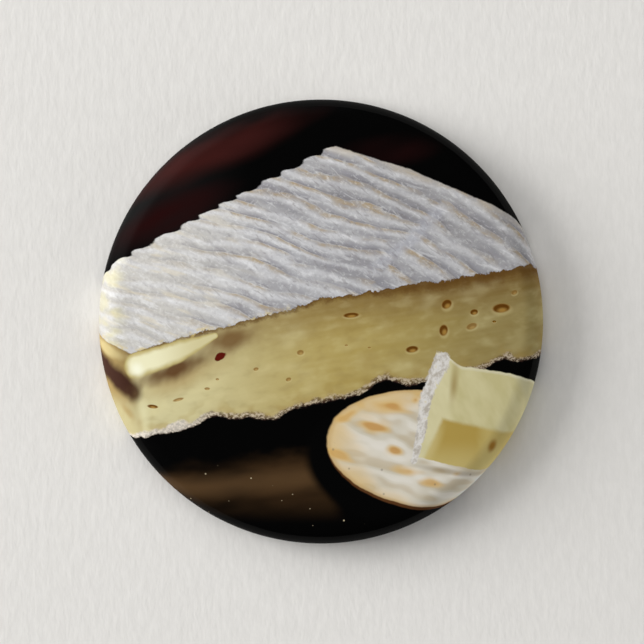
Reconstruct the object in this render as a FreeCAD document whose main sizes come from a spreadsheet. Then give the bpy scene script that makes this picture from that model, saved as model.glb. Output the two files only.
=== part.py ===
# Round pin-back button badge. A printed paper disc lies under clear film on a domed tinplate
# shell. Film, paper and shell are rolled together round the rim, and their ends stand on a
# pressed tinplate back, which carries a spring wire pin under two lanced straps and a hook.
#
# Millimetres. +Z comes out of the printed face, +Y runs up the picture, and the origin lies
# under the centre of the badge, on the surface that its rim rests on.

import FreeCAD, Part
import math
import os

import Sketcher

SIZES = {
    # the whole badge
    "badge_diameter": 57.15,
    "crown_height": 6.8,
    "wall_height": 1.8,
    "shoulder_radius": 3.4,
    "curl_radius": 1.1,
    # the three wrapped layers
    "film_gauge": 0.075,
    "paper_gauge": 0.115,
    "shell_gauge": 0.22,
    # the pressed back
    "plate_gauge": 0.22,
    "plate_bend": 0.3,
    "seat_height": 1.9,
    "panel_height": 2.9,
    "ring_width": 3.4,
    "step_run": 0.8,
    "flange_inset": 0.65,
    "flange_play": 0.05,
    # the spring wire
    "wire_diameter": 0.9,
    "wire_play": 0.05,
    "anchor_side": 5.0,
    "anchor_reach": 6.0,
    "hairpin_radius": 2.0,
    "hairpin_margin": 4.4,
    "crank_radius": 0.9,
    "crank_rise": 1.1,
    "slot_play": 0.15,
    "tip_length": 6.0,
    "tip_radius": 0.05,
    "tip_overhang": 3.4,
    # the two straps that hold the wire
    "strap_width": 2.6,
    "strap_length": 5.4,
    "strap_lean": 0.45,
    "near_strap_margin": 10.4,
    "far_strap_place": 2.4,
    # the hook that catches its point
    "hook_width": 4.0,
    "hook_margin": 8.4,
    "hook_play": 0.15,
    "hook_lip": 0.5,
    "hook_root": 0.8,
    "table_gap": 0.35,
}

# Sizes that follow from the sheet, written once and used wherever pieces meet.
BADGE_RADIUS = "sizes.badge_diameter / 2"
WRAP = "(sizes.film_gauge + sizes.paper_gauge + sizes.shell_gauge)"
PANEL_RADIUS = f"({BADGE_RADIUS} - 2 * sizes.curl_radius - sizes.ring_width)"
FLANGE_RADIUS = f"({BADGE_RADIUS} - {WRAP} - sizes.flange_inset)"
SHOULDER_REACH = f"({FLANGE_RADIUS} - {BADGE_RADIUS} + sizes.shoulder_radius)"
FLANGE_TOP = (
    "sizes.wall_height - sizes.flange_play"
    f" + sqrt((sizes.shoulder_radius - {WRAP})^2 - {SHOULDER_REACH}^2)"
)
WIRE_RADIUS = "sizes.wire_diameter / 2"
ANCHOR_HEIGHT = f"(sizes.panel_height - sizes.wire_play - {WIRE_RADIUS})"
HOOK_RADIUS = f"({WIRE_RADIUS} + sizes.hook_play)"
ARM_HEIGHT = f"(sizes.table_gap + sizes.plate_gauge + {HOOK_RADIUS})"
HAIRPIN_TILT = f"asin(({ANCHOR_HEIGHT} - {ARM_HEIGHT}) / (2 * sizes.hairpin_radius))"
ARM_SIDE = f"(sizes.anchor_side + 2 * sizes.hairpin_radius * cos({HAIRPIN_TILT}))"
HAIRPIN_PLACE = f"(sizes.hairpin_margin - {PANEL_RADIUS} + sizes.hairpin_radius + {WIRE_RADIUS})"
HOOK_PLACE = f"({PANEL_RADIUS} - sizes.hook_margin)"
TIP_START = f"({HOOK_PLACE} + sizes.hook_width / 2 + sizes.tip_overhang - sizes.tip_length)"

doc = FreeCAD.newDocument("badge")


def make_sheet():
    """The sheet of driving dimensions, one named cell each."""
    sheet = doc.addObject("Spreadsheet::Sheet", "sizes")
    for row, (name, number) in enumerate(SIZES.items(), start=1):
        sheet.set(f"A{row}", name)
        sheet.set(f"B{row}", str(number))
        sheet.setAlias(f"B{row}", name)
    doc.recompute()
    return sheet


def value(expression):
    """The plain number that an expression on the sheet gives."""
    result = sheet.evalExpression(str(expression))
    return float(getattr(result, "Value", result))


def tie(thing, name, expression):
    """Sets a property from the sheet, and keeps it bound."""
    thing.setExpression(name, expression)


class Drawing:
    """A sketch on one of its body's origin planes, with every size tied to the sheet."""

    ORIGIN = (-1, 1)
    Y_AXIS = -2

    def __init__(self, body, plane, name, shift=None, tilt=None):
        self.sketch = body.newObject("Sketcher::SketchObject", name)
        planes = [each for each in body.Origin.OriginFeatures if each.Role == plane]
        self.sketch.AttachmentSupport = [(planes[0], "")]
        self.sketch.MapMode = "FlatFace"
        if tilt:
            turned = FreeCAD.Rotation(FreeCAD.Vector(1, 0, 0), value(tilt))
            self.sketch.AttachmentOffset = FreeCAD.Placement(FreeCAD.Vector(), turned)
            tie(self.sketch, "AttachmentOffset.Rotation.Angle", tilt)
        for axis, expression in (shift or {}).items():
            tie(self.sketch, f"AttachmentOffset.Base.{axis}", expression)

    def line(self, start, end):
        edge = Part.LineSegment(FreeCAD.Vector(*start, 0), FreeCAD.Vector(*end, 0))
        return self.sketch.addGeometry(edge, False)

    def arc(self, centre, radius, low, high):
        circle = Part.Circle(FreeCAD.Vector(*centre, 0), FreeCAD.Vector(0, 0, 1), radius)
        edge = Part.ArcOfCircle(circle, math.radians(low), math.radians(high))
        return self.sketch.addGeometry(edge, False)

    def circle(self, centre, radius):
        edge = Part.Circle(FreeCAD.Vector(*centre, 0), FreeCAD.Vector(0, 0, 1), radius)
        return self.sketch.addGeometry(edge, False)

    def rule(self, kind, *places):
        """A rule with no size, such as Tangent or Vertical."""
        return self.sketch.addConstraint(Sketcher.Constraint(kind, *places))

    def size(self, kind, *places):
        """A rule with a size: the last of places is its expression."""
        expression = places[-1]
        index = self.sketch.addConstraint(Sketcher.Constraint(kind, *places[:-1], value(expression)))
        self.sketch.setExpression(f"Constraints[{index}]", expression)

    def place(self, geometry, point, across, up):
        """Ties a point's two coordinates; None leaves one free, and 0 is on the axis."""
        for kind, axis, expression in (("DistanceX", self.Y_AXIS, across), ("DistanceY", -1, up)):
            if expression == 0:
                self.rule("PointOnObject", geometry, point, axis)
            elif expression:
                self.size(kind, *self.ORIGIN, geometry, point, expression)


class Straight:
    """A straight stretch of a chain."""

    def __init__(self, start, end):
        self.start = start
        self.end = end

    def beside(self, distance):
        """The same stretch, moved to its left."""
        run = math.dist(self.start, self.end)
        left = (
            -(self.end[1] - self.start[1]) / run * distance,
            (self.end[0] - self.start[0]) / run * distance,
        )
        return Straight(
            (self.start[0] + left[0], self.start[1] + left[1]),
            (self.end[0] + left[0], self.end[1] + left[1]),
        )

    def draw(self, drawing):
        """Its geometry number, its first point and its last point."""
        return drawing.line(self.start, self.end), 1, 2


class Bend:
    """A round stretch of a chain, from one angle to another, clockwise where the second is less."""

    def __init__(self, centre, radius, low, high, bound=None):
        self.centre = centre
        self.radius = radius
        self.low = low
        self.high = high
        self.bound = bound

    @property
    def left_turn(self):
        return self.high > self.low

    @property
    def start(self):
        return self.point(self.low)

    @property
    def end(self):
        return self.point(self.high)

    def point(self, angle):
        turned = math.radians(angle)
        return (
            self.centre[0] + self.radius * math.cos(turned),
            self.centre[1] + self.radius * math.sin(turned),
        )

    def beside(self, distance):
        """The same stretch, moved to its left."""
        inward = distance if self.left_turn else -distance
        return Bend(self.centre, self.radius - inward, self.low, self.high)

    def draw(self, drawing):
        if self.left_turn:
            return drawing.arc(self.centre, self.radius, self.low, self.high), 1, 2
        return drawing.arc(self.centre, self.radius, self.high, self.low), 2, 1


def draw_chain(drawing, chain):
    """Draws stretches end to end, each tangent to the next."""
    drawn = [stretch.draw(drawing) for stretch in chain]
    for (first, _, end), (second, start, _) in zip(drawn, drawn[1:]):
        drawing.rule("Tangent", first, end, second, start)
    for stretch, (geometry, _, _) in zip(chain, drawn):
        if isinstance(stretch, Bend) and stretch.bound:
            drawing.size("Radius", geometry, stretch.bound)
    return drawn


def draw_cap(drawing, near, far, stretch):
    """Closes one end of a section of sheet, square to a straight stretch."""
    cap = drawing.line(near[2], far[2])
    drawing.rule("Coincident", cap, 1, near[0], near[1])
    drawing.rule("Coincident", cap, 2, far[0], far[1])
    if isinstance(stretch, Straight):
        drawing.rule("Parallel", near[0], far[0])
        drawing.rule("Perpendicular", cap, near[0])
    else:
        drawing.rule("Vertical", cap)


def draw_sheet_metal(drawing, chain, gauge, left=True):
    """A closed section of one gauge: a chain, the chain beside it, and a cap at each end."""
    sign = 1 if left else -1
    thickness = value(gauge)
    other = [stretch.beside(sign * thickness) for stretch in chain]
    for stretch, twin in zip(chain, other):
        if isinstance(stretch, Bend) and stretch.bound:
            thinner = stretch.left_turn == left
            twin.bound = f"{stretch.bound} {'-' if thinner else '+'} {gauge}"
    drawn = draw_chain(drawing, chain)
    beside = draw_chain(drawing, other)
    for stretch, (geometry, _, _), (twin, _, _) in zip(chain, drawn, beside):
        if isinstance(stretch, Bend):
            drawing.rule("Coincident", twin, 3, geometry, 3)
    for end, part in ((0, 1), (-1, 2)):
        where = [(row[end][0], row[end][part]) for row in (drawn, beside)]
        points = [row[end].start if part == 1 else row[end].end for row in (chain, other)]
        near, far = [(*place, point) for place, point in zip(where, points)]
        draw_cap(drawing, near, far, chain[end])
    return drawn


def rounded(corners, bend, gauge, left=True):
    """A chain through corners, each rounded so that the sheet's inner bend radius is bend."""
    points = [(value(across), value(up)) for across, up in corners]
    chain = []
    reached = points[0]
    for before, corner, after in zip(points, points[1:], points[2:]):
        coming = math.atan2(corner[1] - before[1], corner[0] - before[0])
        going = math.atan2(after[1] - corner[1], after[0] - corner[0])
        turn = (going - coming + math.pi) % (2 * math.pi) - math.pi
        outer = (turn > 0) == left
        bound = f"({bend} + {gauge})" if outer else f"({bend})"
        radius = value(bound)
        side = math.copysign(math.pi / 2, turn)
        cut = radius * math.tan(abs(turn) / 2)
        touch = (corner[0] - cut * math.cos(coming), corner[1] - cut * math.sin(coming))
        centre = (
            touch[0] + radius * math.cos(coming + side),
            touch[1] + radius * math.sin(coming + side),
        )
        low = math.degrees(coming - side)
        chain.append(Straight(reached, touch))
        chain.append(Bend(centre, radius, low, low + math.degrees(turn), bound))
        reached = chain[-1].end
    chain.append(Straight(reached, points[-1]))
    return chain


def draw_bent_sheet(drawing, corners, bend, gauge, left=True):
    """A section of sheet bent at corners, whose places are expressions on the sheet."""
    drawn = draw_sheet_metal(drawing, rounded(corners, bend, gauge, left), gauge, left)
    straights = drawn[0::2]
    drawing.place(straights[0][0], 1, *corners[0])
    drawing.place(straights[-1][0], 2, *corners[-1])
    for (before, _, _), (after, _, _), (across, up) in zip(straights, straights[1:], corners[1:-1]):
        spot = FreeCAD.Vector(value(across), value(up), 0)
        corner = drawing.sketch.addGeometry(Part.Point(spot), True)
        drawing.rule("PointOnObject", corner, 1, before)
        drawing.rule("PointOnObject", corner, 1, after)
        drawing.place(corner, 1, across, up)


def make_body(name):
    body = doc.addObject("PartDesign::Body", name)
    body.Label = name
    return body


def revolve(body, drawing, name):
    """Turns a section once round the badge's own axis."""
    turned = body.newObject("PartDesign::Revolution", name)
    turned.Profile = drawing.sketch
    turned.ReferenceAxis = (drawing.sketch, ["V_Axis"])
    turned.Angle = 360


def pad_both_ways(body, drawing, name, width):
    pad = body.newObject("PartDesign::Pad", name)
    pad.Profile = drawing.sketch
    pad.SideType = "Symmetric"
    tie(pad, "Length", width)


def pocket_upwards(body, drawing, name):
    """Cuts an outline drawn on the resting plane up through the back."""
    pocket = body.newObject("PartDesign::Pocket", name)
    pocket.Profile = drawing.sketch
    pocket.Reversed = True
    pocket.Type = "ThroughAll"


def make_layer(name, inset, gauge):
    """One wrapped layer: domed face, shoulder, side wall, rolled rim and a tail up to the back."""
    body = make_body(name)
    drawing = Drawing(body, "XZ_Plane", f"{name}_section")
    edge = value(f"{BADGE_RADIUS} - ({inset})")
    crown = value(f"sizes.crown_height - ({inset})")
    wall_top = value("sizes.wall_height")
    shoulder = value(f"sizes.shoulder_radius - ({inset})")
    curl = value(f"sizes.curl_radius - ({inset})")
    curl_up = value("sizes.curl_radius")
    tail_end = value("sizes.seat_height")
    across = edge - shoulder
    rise = crown - wall_top
    dome = (across ** 2 + rise ** 2 - shoulder ** 2) / (2 * (rise - shoulder))
    dome_centre = crown - dome
    leaving = math.degrees(math.atan2(wall_top - dome_centre, across))
    chain = [
        Bend((0, dome_centre), dome, 90, leaving),
        Bend((across, wall_top), shoulder, leaving, 0, f"(sizes.shoulder_radius - ({inset}))"),
        Straight((edge, wall_top), (edge, curl_up)),
        Bend((edge - curl, curl_up), curl, 0, -180, f"(sizes.curl_radius - ({inset}))"),
        Straight((edge - 2 * curl, curl_up), (edge - 2 * curl, tail_end)),
    ]
    drawn = draw_sheet_metal(drawing, chain, gauge, left=False)
    face, turn, wall, roll, tail = [geometry for geometry, _, _ in drawn]
    drawing.rule("PointOnObject", face, 3, drawing.Y_AXIS)
    drawing.place(face, drawn[0][1], 0, f"sizes.crown_height - ({inset})")
    drawing.place(turn, 3, None, "sizes.wall_height")
    drawing.rule("Vertical", wall)
    drawing.place(wall, 1, f"{BADGE_RADIUS} - ({inset})", None)
    drawing.place(roll, 3, None, "sizes.curl_radius")
    drawing.rule("Vertical", tail)
    drawing.place(tail, 2, None, "sizes.seat_height")
    revolve(body, drawing, f"{name}_turned")
    return body


def press_plate(body):
    """The back's round pressing: sunk panel, step, seat ring and the flange inside the shell."""
    drawing = Drawing(body, "XZ_Plane", "plate_section")
    corners = [
        (0, "sizes.panel_height"),
        (PANEL_RADIUS, "sizes.panel_height"),
        (f"{PANEL_RADIUS} + sizes.step_run", "sizes.seat_height"),
        (FLANGE_RADIUS, "sizes.seat_height"),
        (FLANGE_RADIUS, FLANGE_TOP),
    ]
    draw_bent_sheet(drawing, corners, "sizes.plate_bend", "sizes.plate_gauge")
    revolve(body, drawing, "plate_turned")


def cut_window(body, name, centre_x, width, low, high):
    """A rectangular window in the panel, where a tab or strap was lanced out of it."""
    drawing = Drawing(body, "XY_Plane", f"{name}_outline")
    left = f"{centre_x} - {width} / 2"
    right = f"{centre_x} + {width} / 2"
    places = [(left, low), (right, low), (right, high), (left, high)]
    points = [(value(across), value(up)) for across, up in places]
    sides = [drawing.line(points[step], points[(step + 1) % 4]) for step in range(4)]
    for step in range(4):
        drawing.rule("Coincident", sides[step], 2, sides[(step + 1) % 4], 1)
        drawing.rule("Horizontal" if step % 2 == 0 else "Vertical", sides[step])
    drawing.place(sides[0], 1, left, low)
    drawing.place(sides[2], 1, right, high)
    pocket_upwards(body, drawing, name)


def lance_strap(body, name, place):
    """A strap lanced out of the panel, which arches over the wire's anchored leg."""
    half = "sizes.strap_length / 2"
    low = f"sizes.anchor_side - {half}"
    high = f"sizes.anchor_side + {half}"
    cut_window(body, f"{name}_window", place, "sizes.strap_width", low, high)
    reach = f"({WIRE_RADIUS} + sizes.wire_play + sizes.plate_gauge)"
    foot = f"({reach} + sizes.strap_lean)"
    under = f"{ANCHOR_HEIGHT} - {WIRE_RADIUS} - sizes.wire_play - sizes.plate_gauge"
    corners = [
        (low, "sizes.panel_height"),
        (f"sizes.anchor_side - {foot}", "sizes.panel_height"),
        (f"sizes.anchor_side - {reach}", under),
        (f"sizes.anchor_side + {reach}", under),
        (f"sizes.anchor_side + {foot}", "sizes.panel_height"),
        (high, "sizes.panel_height"),
    ]
    drawing = Drawing(body, "YZ_Plane", f"{name}_section", {"z": place})
    draw_bent_sheet(drawing, corners, "sizes.plate_bend", "sizes.plate_gauge")
    pad_both_ways(body, drawing, name, "sizes.strap_width")


def curl_hook(body):
    """The hook: a tab lanced out of the panel, bent down and rolled round the wire's arm."""
    outer = f"({HOOK_RADIUS} + sizes.plate_gauge)"
    back = f"({ARM_SIDE} + {outer})"
    root = f"({back} + sizes.hook_root)"
    blank = (
        f"(sizes.panel_height - {ARM_HEIGHT} + pi * {HOOK_RADIUS}"
        " + sizes.hook_lip + sizes.hook_root)"
    )
    cut_window(body, "hook_window", HOOK_PLACE, "sizes.hook_width", f"{root} - {blank}", root)
    arm = (value(ARM_SIDE), value(ARM_HEIGHT))
    bend = value("sizes.plate_bend")
    level = value("sizes.panel_height")
    radius = value(outer)
    side = arm[0] + radius
    lip_end = arm[1] + value("sizes.hook_lip")
    chain = [
        Straight((value(root), level), (side + bend, level)),
        Bend((side + bend, level - bend), bend, 90, 180, "(sizes.plate_bend)"),
        Straight((side, level - bend), (side, arm[1])),
        Bend(arm, radius, 0, -180, outer),
        Straight((arm[0] - radius, arm[1]), (arm[0] - radius, lip_end)),
    ]
    drawing = Drawing(body, "YZ_Plane", "hook_section", {"z": HOOK_PLACE})
    drawn = draw_sheet_metal(drawing, chain, "sizes.plate_gauge", left=False)
    first, _, down, roll, lip = [geometry for geometry, _, _ in drawn]
    drawing.place(first, 1, root, "sizes.panel_height")
    drawing.rule("Horizontal", first)
    drawing.rule("Vertical", down)
    drawing.place(roll, 3, ARM_SIDE, ARM_HEIGHT)
    drawing.rule("Vertical", lip)
    drawing.place(lip, 2, None, f"{ARM_HEIGHT} + sizes.hook_lip")
    pad_both_ways(body, drawing, "hook", "sizes.hook_width")


def cut_slot(body):
    """The slot that the wire's cranked end goes up through."""
    radius = f"({WIRE_RADIUS} + sizes.slot_play)"
    near = "sizes.anchor_reach"
    far = "(sizes.anchor_reach + sizes.crank_radius)"
    side = value("sizes.anchor_side")
    size = value(radius)
    chain = [
        Bend((value(near), side), size, 270, 90, radius),
        Straight((value(near), side + size), (value(far), side + size)),
        Bend((value(far), side), size, 90, -90, radius),
        Straight((value(far), side - size), (value(near), side - size)),
    ]
    drawing = Drawing(body, "XY_Plane", "slot_outline")
    drawn = draw_chain(drawing, chain)
    drawing.rule("Tangent", drawn[3][0], 2, drawn[0][0], drawn[0][1])
    drawing.place(drawn[0][0], 3, near, "sizes.anchor_side")
    drawing.place(drawn[2][0], 3, far, None)
    drawing.rule("Horizontal", drawn[1][0])
    pocket_upwards(body, drawing, "slot")


def make_back():
    body = make_body("back_plate")
    press_plate(body)
    lance_strap(body, "near_strap", f"(sizes.near_strap_margin - {PANEL_RADIUS})")
    lance_strap(body, "far_strap", "sizes.far_strap_place")
    curl_hook(body)
    cut_slot(body)
    return body


def sweep_wire(body, name, profile, path, edges):
    """Draws the wire along a path that starts in its round section."""
    pipe = body.newObject("PartDesign::AdditivePipe", name)
    pipe.Profile = profile.sketch
    pipe.Spine = (path.sketch, [f"Edge{number}" for number in range(1, edges + 1)])


def draw_hairpin(body):
    """Anchored leg, hairpin bend and free arm, in one plane that leans down to the arm."""
    path = Drawing(
        body,
        "XY_Plane",
        "hairpin_path",
        {"y": "sizes.anchor_side", "z": ANCHOR_HEIGHT},
        f"-1 * {HAIRPIN_TILT}",
    )
    end = value("sizes.anchor_reach")
    place = value(HAIRPIN_PLACE)
    radius = value("sizes.hairpin_radius")
    tip = value(TIP_START)
    chain = [
        Straight((end, 0), (place, 0)),
        Bend((place, radius), radius, -90, -270, "sizes.hairpin_radius"),
        Straight((place, 2 * radius), (tip, 2 * radius)),
    ]
    (leg, _, _), (turn, _, _), (arm, _, _) = draw_chain(path, chain)
    path.place(leg, 1, "sizes.anchor_reach", 0)
    path.rule("Horizontal", leg)
    path.place(turn, 3, HAIRPIN_PLACE, None)
    path.rule("Horizontal", arm)
    path.place(arm, 2, TIP_START, None)
    return path


def draw_crank(body):
    """The anchored leg's end, turned up through the back."""
    path = Drawing(body, "XZ_Plane", "crank_path", {"z": "-1 * sizes.anchor_side"})
    end = value("sizes.anchor_reach")
    low = value(ANCHOR_HEIGHT)
    radius = value("sizes.crank_radius")
    top = "sizes.panel_height + sizes.plate_gauge + sizes.crank_rise"
    chain = [
        Bend((end, low + radius), radius, -90, 0, "sizes.crank_radius"),
        Straight((end + radius, low + radius), (end + radius, value(top))),
    ]
    (turn, start, _), (stub, _, _) = draw_chain(path, chain)
    path.place(turn, start, "sizes.anchor_reach", ANCHOR_HEIGHT)
    path.rule("Vertical", stub)
    path.place(turn, 3, "sizes.anchor_reach", None)
    path.place(stub, 2, None, top)
    return path


def make_pin():
    """The spring wire: one length of round wire with a ground point."""
    body = make_body("pin")
    profile = Drawing(body, "YZ_Plane", "wire_section", {"z": "sizes.anchor_reach"})
    spot = (value("sizes.anchor_side"), value(ANCHOR_HEIGHT))
    ring = profile.circle(spot, value(WIRE_RADIUS))
    profile.place(ring, 3, "sizes.anchor_side", ANCHOR_HEIGHT)
    profile.size("Radius", ring, WIRE_RADIUS)
    sweep_wire(body, "hairpin", profile, draw_hairpin(body), 3)
    sweep_wire(body, "crank", profile, draw_crank(body), 2)
    tip = body.newObject("PartDesign::AdditiveCone", "tip")
    tip.AttachmentSupport = [(profile.sketch.AttachmentSupport[0][0], "")]
    tip.MapMode = "FlatFace"
    tie(tip, "AttachmentOffset.Base.x", ARM_SIDE)
    tie(tip, "AttachmentOffset.Base.y", ARM_HEIGHT)
    tie(tip, "AttachmentOffset.Base.z", TIP_START)
    tie(tip, "Radius1", WIRE_RADIUS)
    tie(tip, "Radius2", "sizes.tip_radius")
    tie(tip, "Height", "sizes.tip_length")
    return body


def check(bodies):
    """Stops if a feature failed, a sketch is loose or a sub-part isn't one sound solid."""
    for thing in doc.Objects:
        if "Invalid" in thing.State or "Error" in thing.State:
            raise RuntimeError(f"{thing.Name} failed: {thing.State}")
        if thing.isDerivedFrom("Sketcher::SketchObject") and not thing.FullyConstrained:
            raise RuntimeError(f"{thing.Name} isn't fully constrained")
    for body in bodies:
        shape = body.Shape
        if shape.isNull() or not shape.isValid() or len(shape.Solids) != 1:
            raise RuntimeError(f"{body.Label} isn't one sound solid")


sheet = make_sheet()
badge = [
    make_layer("clear_film", "0", "sizes.film_gauge"),
    make_layer("print_paper", "sizes.film_gauge", "sizes.paper_gauge"),
    make_layer("shell", "sizes.film_gauge + sizes.paper_gauge", "sizes.shell_gauge"),
    make_back(),
    make_pin(),
]
doc.recompute()
check(badge)

os.makedirs("parts", exist_ok=True)
for body in badge:
    body.Shape.exportStep(f"parts/{body.Label}.step")
    print(f"{body.Label}: {body.Shape.Volume:.2f} mm3")
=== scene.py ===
import math

import bpy
import mathutils
import numpy as np
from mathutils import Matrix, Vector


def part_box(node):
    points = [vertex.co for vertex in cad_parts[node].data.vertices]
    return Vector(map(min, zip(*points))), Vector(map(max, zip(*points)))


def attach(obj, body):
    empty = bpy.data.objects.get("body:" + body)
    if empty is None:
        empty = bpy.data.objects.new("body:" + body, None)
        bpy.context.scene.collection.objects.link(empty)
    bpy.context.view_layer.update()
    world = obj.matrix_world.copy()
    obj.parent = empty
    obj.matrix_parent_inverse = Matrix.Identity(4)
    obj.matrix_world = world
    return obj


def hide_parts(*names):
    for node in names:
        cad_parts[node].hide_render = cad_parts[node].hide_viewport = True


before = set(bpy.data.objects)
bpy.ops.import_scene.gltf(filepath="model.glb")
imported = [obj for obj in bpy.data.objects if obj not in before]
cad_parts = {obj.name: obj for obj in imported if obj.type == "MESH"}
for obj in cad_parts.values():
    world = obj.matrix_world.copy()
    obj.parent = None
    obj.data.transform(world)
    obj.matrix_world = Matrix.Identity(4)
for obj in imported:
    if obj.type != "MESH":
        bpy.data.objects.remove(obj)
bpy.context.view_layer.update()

# Sizes of the badge in metres: its radius and height from the frame, the radius of the bend from
# dome to wall, where the wall ends, the radius of the rolled edge, where the wrap's tail ends, and
# how thick film and paper are together.
LOW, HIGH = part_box("clear_film")
EDGE = (HIGH[0] - LOW[0]) / 2
CROWN = HIGH[2]
SHOULDER = 0.0034
WALL_TOP = 0.0018
CURL = 0.0011
SEAT = 0.0019
WRAP = 0.00019

# The print and the grain of every material are drawn in millimetres.
MILLIMETRE = 0.001
PER_METRE = 1000.0

# The film's pleats: how proud they stand, the waves round the rim that they are made of, each as
# its count and start, and how steep they rise.
PLEAT = 0.00005
PLEAT_WAVES = ((61, 0.7), (83, 2.1), (47, 4.4))
PLEAT_POWER = 0.7

# Steps of the mesh: round the badge, and down the dome and each bend, outside and inside.
TURNS = 576
OUTER_STEPS = (30, 18)
INNER_STEPS = (12, 10)
SHARP_ANGLE = 50

# The camera looks straight down: its height, how far it is off the middle and the nearest that it
# sees, in metres, and its lens and sensor, in millimetres.
CAMERA_HEIGHT = 0.2322
CAMERA_SHIFT = (0.00013, -0.00006)
NEAREST_SEEN = 0.01
LENS = 100
SENSOR_WIDTH = 36

# The card, and the lamps' names, places, widths and watts. All lamps aim at the badge.
FLOOR_HALF = 1.2
LAMP_AIM = (0, 0, 0.004)
LAMPS = (
    ("key", (-1.09, 0.26, 0.37), 0.75, 19.0),
    ("top", (-0.25, 0.85, 0.8), 0.8, 3.4),
    ("right", (0.95, -0.35, 0.3), 0.6, 2.0),
    ("fill", (0, 0, 1.2), 1.2, 4.6),
)

# The room: the direction of its bright side, and the strength added there, all round but not
# overhead, everywhere, and below.
BRIGHT_SIDE = (-0.866, 0.5)
ROOM_BRIGHT = 1.1
ROOM_ROUND = 0.03
ROOM_ALL = 0.01
ROOM_BELOW = 0.5
ROOM_TINT = (1.0, 0.995, 0.985, 1.0)


# ---------------------------------------------------------------- meshes


def arc(centre, radius, low, high, steps):
    """Points of an arc, in degrees, without its last point."""
    turns = [math.radians(low + (high - low) * step / steps) for step in range(steps)]
    return [(centre[0] + radius * math.cos(a), centre[1] + radius * math.sin(a)) for a in turns]


def wrapped_profile(inset, dome_steps, bend_steps):
    """Radius and height down one side of the wrap: dome, shoulder, wall, rolled rim, tail."""
    edge = EDGE - inset
    shoulder = SHOULDER - inset
    curl = CURL - inset
    across = edge - shoulder
    rise = CROWN - inset - WALL_TOP
    dome = (across ** 2 + rise ** 2 - shoulder ** 2) / (2 * (rise - shoulder))
    centre = CROWN - inset - dome
    leaving = math.degrees(math.atan2(WALL_TOP - centre, across))
    points = arc((0, centre), dome, 90, leaving, dome_steps)
    points += arc((across, WALL_TOP), shoulder, leaving, 0, bend_steps)
    points += [(edge, WALL_TOP), (edge, (WALL_TOP + CURL) / 2)]
    points += arc((edge - curl, CURL), curl, 0, -180, bend_steps)
    points += [(edge - 2 * curl, CURL), (edge - 2 * curl, SEAT)]
    return points


def pleats(angle):
    """How far the film stands proud in its small pleats, where it was gathered round the rim."""
    waves = sum(np.sin(count * angle + start) for count, start in PLEAT_WAVES)
    return PLEAT * np.clip(waves / len(PLEAT_WAVES), 0.0, None) ** PLEAT_POWER


def distances(points):
    """How far along a profile each of its points lies."""
    steps = np.hypot(*np.diff(points, axis=0).T)
    return np.concatenate([[0.0], np.cumsum(steps)])


def gathering(loop, outer_count):
    """How far each point takes part in the pleats: only the film inside the rolled rim does."""
    share = np.zeros(len(loop))
    share[:outer_count - 1] = 1.0
    share *= (loop[:, 0] < EDGE - CURL) & (loop[:, 1] < SEAT)
    return share * np.clip(loop[:, 1] / CURL, 0.0, 1.0)


def turned_faces(count):
    """Faces of a piece turned round Z: two poles first, then a loop of count points at each turn."""
    here = 2 + count * np.arange(TURNS)
    there = np.roll(here, -1)
    faces = [(0, a, b) for a, b in zip(here, there)]
    faces += [(1, b + count - 1, a + count - 1) for a, b in zip(here, there)]
    for place in range(count - 1):
        faces += [(a, a + 1, b + 1, b) for a, b in zip(here + place, there + place)]
    return [tuple(map(int, face)) for face in faces]


def turned_piece(name, outer, inner):
    """A closed piece turned round Z, with the print's own flat millimetres as its UVs."""
    outer = np.array(outer)
    inner = np.array(inner)
    loop = np.concatenate([outer[1:], inner[:0:-1]])
    along = np.concatenate([distances(outer)[1:], distances(inner)[:0:-1]])
    angle = np.linspace(0, 2 * math.pi, TURNS, endpoint=False)[:, None]
    radius = loop[:, 0] - gathering(loop, len(outer)) * pleats(angle)
    height = np.broadcast_to(loop[:, 1], radius.shape)
    ring = np.stack([radius * np.cos(angle), radius * np.sin(angle), height], axis=-1)
    poles = [(0, 0, outer[0][1]), (0, 0, inner[0][1])]
    verts = np.concatenate([poles, ring.reshape(-1, 3)])
    mesh = bpy.data.meshes.new(name)
    mesh.from_pydata(verts.tolist(), [], turned_faces(len(loop)))
    flat = np.stack([along * np.cos(angle), along * np.sin(angle)], axis=-1).reshape(-1, 2)
    flat = np.concatenate([np.zeros((2, 2)), flat]) / MILLIMETRE
    corners = np.empty(len(mesh.loops), dtype=int)
    mesh.loops.foreach_get("vertex_index", corners)
    layer = mesh.uv_layers.new(name="print_mm")
    layer.data.foreach_set("uv", flat[corners].astype(np.float32).ravel())
    mesh.shade_smooth()
    mesh.set_sharp_from_angle(angle=math.radians(SHARP_ANGLE))
    piece = bpy.data.objects.new(name, mesh)
    bpy.context.scene.collection.objects.link(piece)
    return piece


# ---------------------------------------------------------------- shader sums


def ink(red, green, blue):
    """A colour given as it looks, 0 to 255, as the shader's linear colour."""
    def linear(level):
        level /= 255
        return level / 12.92 if level <= 0.04045 else ((level + 0.055) / 1.055) ** 2.4
    return (linear(red), linear(green), linear(blue), 1.0)


class Term:
    """The output of a node, which can be added, multiplied and so on like a number."""

    def __init__(self, sheet, socket):
        self.sheet = sheet
        self.socket = socket

    def __add__(self, other):
        return self.sheet.math("ADD", self, other)

    def __sub__(self, other):
        return self.sheet.math("SUBTRACT", self, other)

    def __rsub__(self, other):
        return self.sheet.math("SUBTRACT", other, self)

    def __mul__(self, other):
        return self.sheet.math("MULTIPLY", self, other)

    def __truediv__(self, other):
        return self.sheet.math("DIVIDE", self, other)

    def __abs__(self):
        return self.sheet.math("ABSOLUTE", self)


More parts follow.
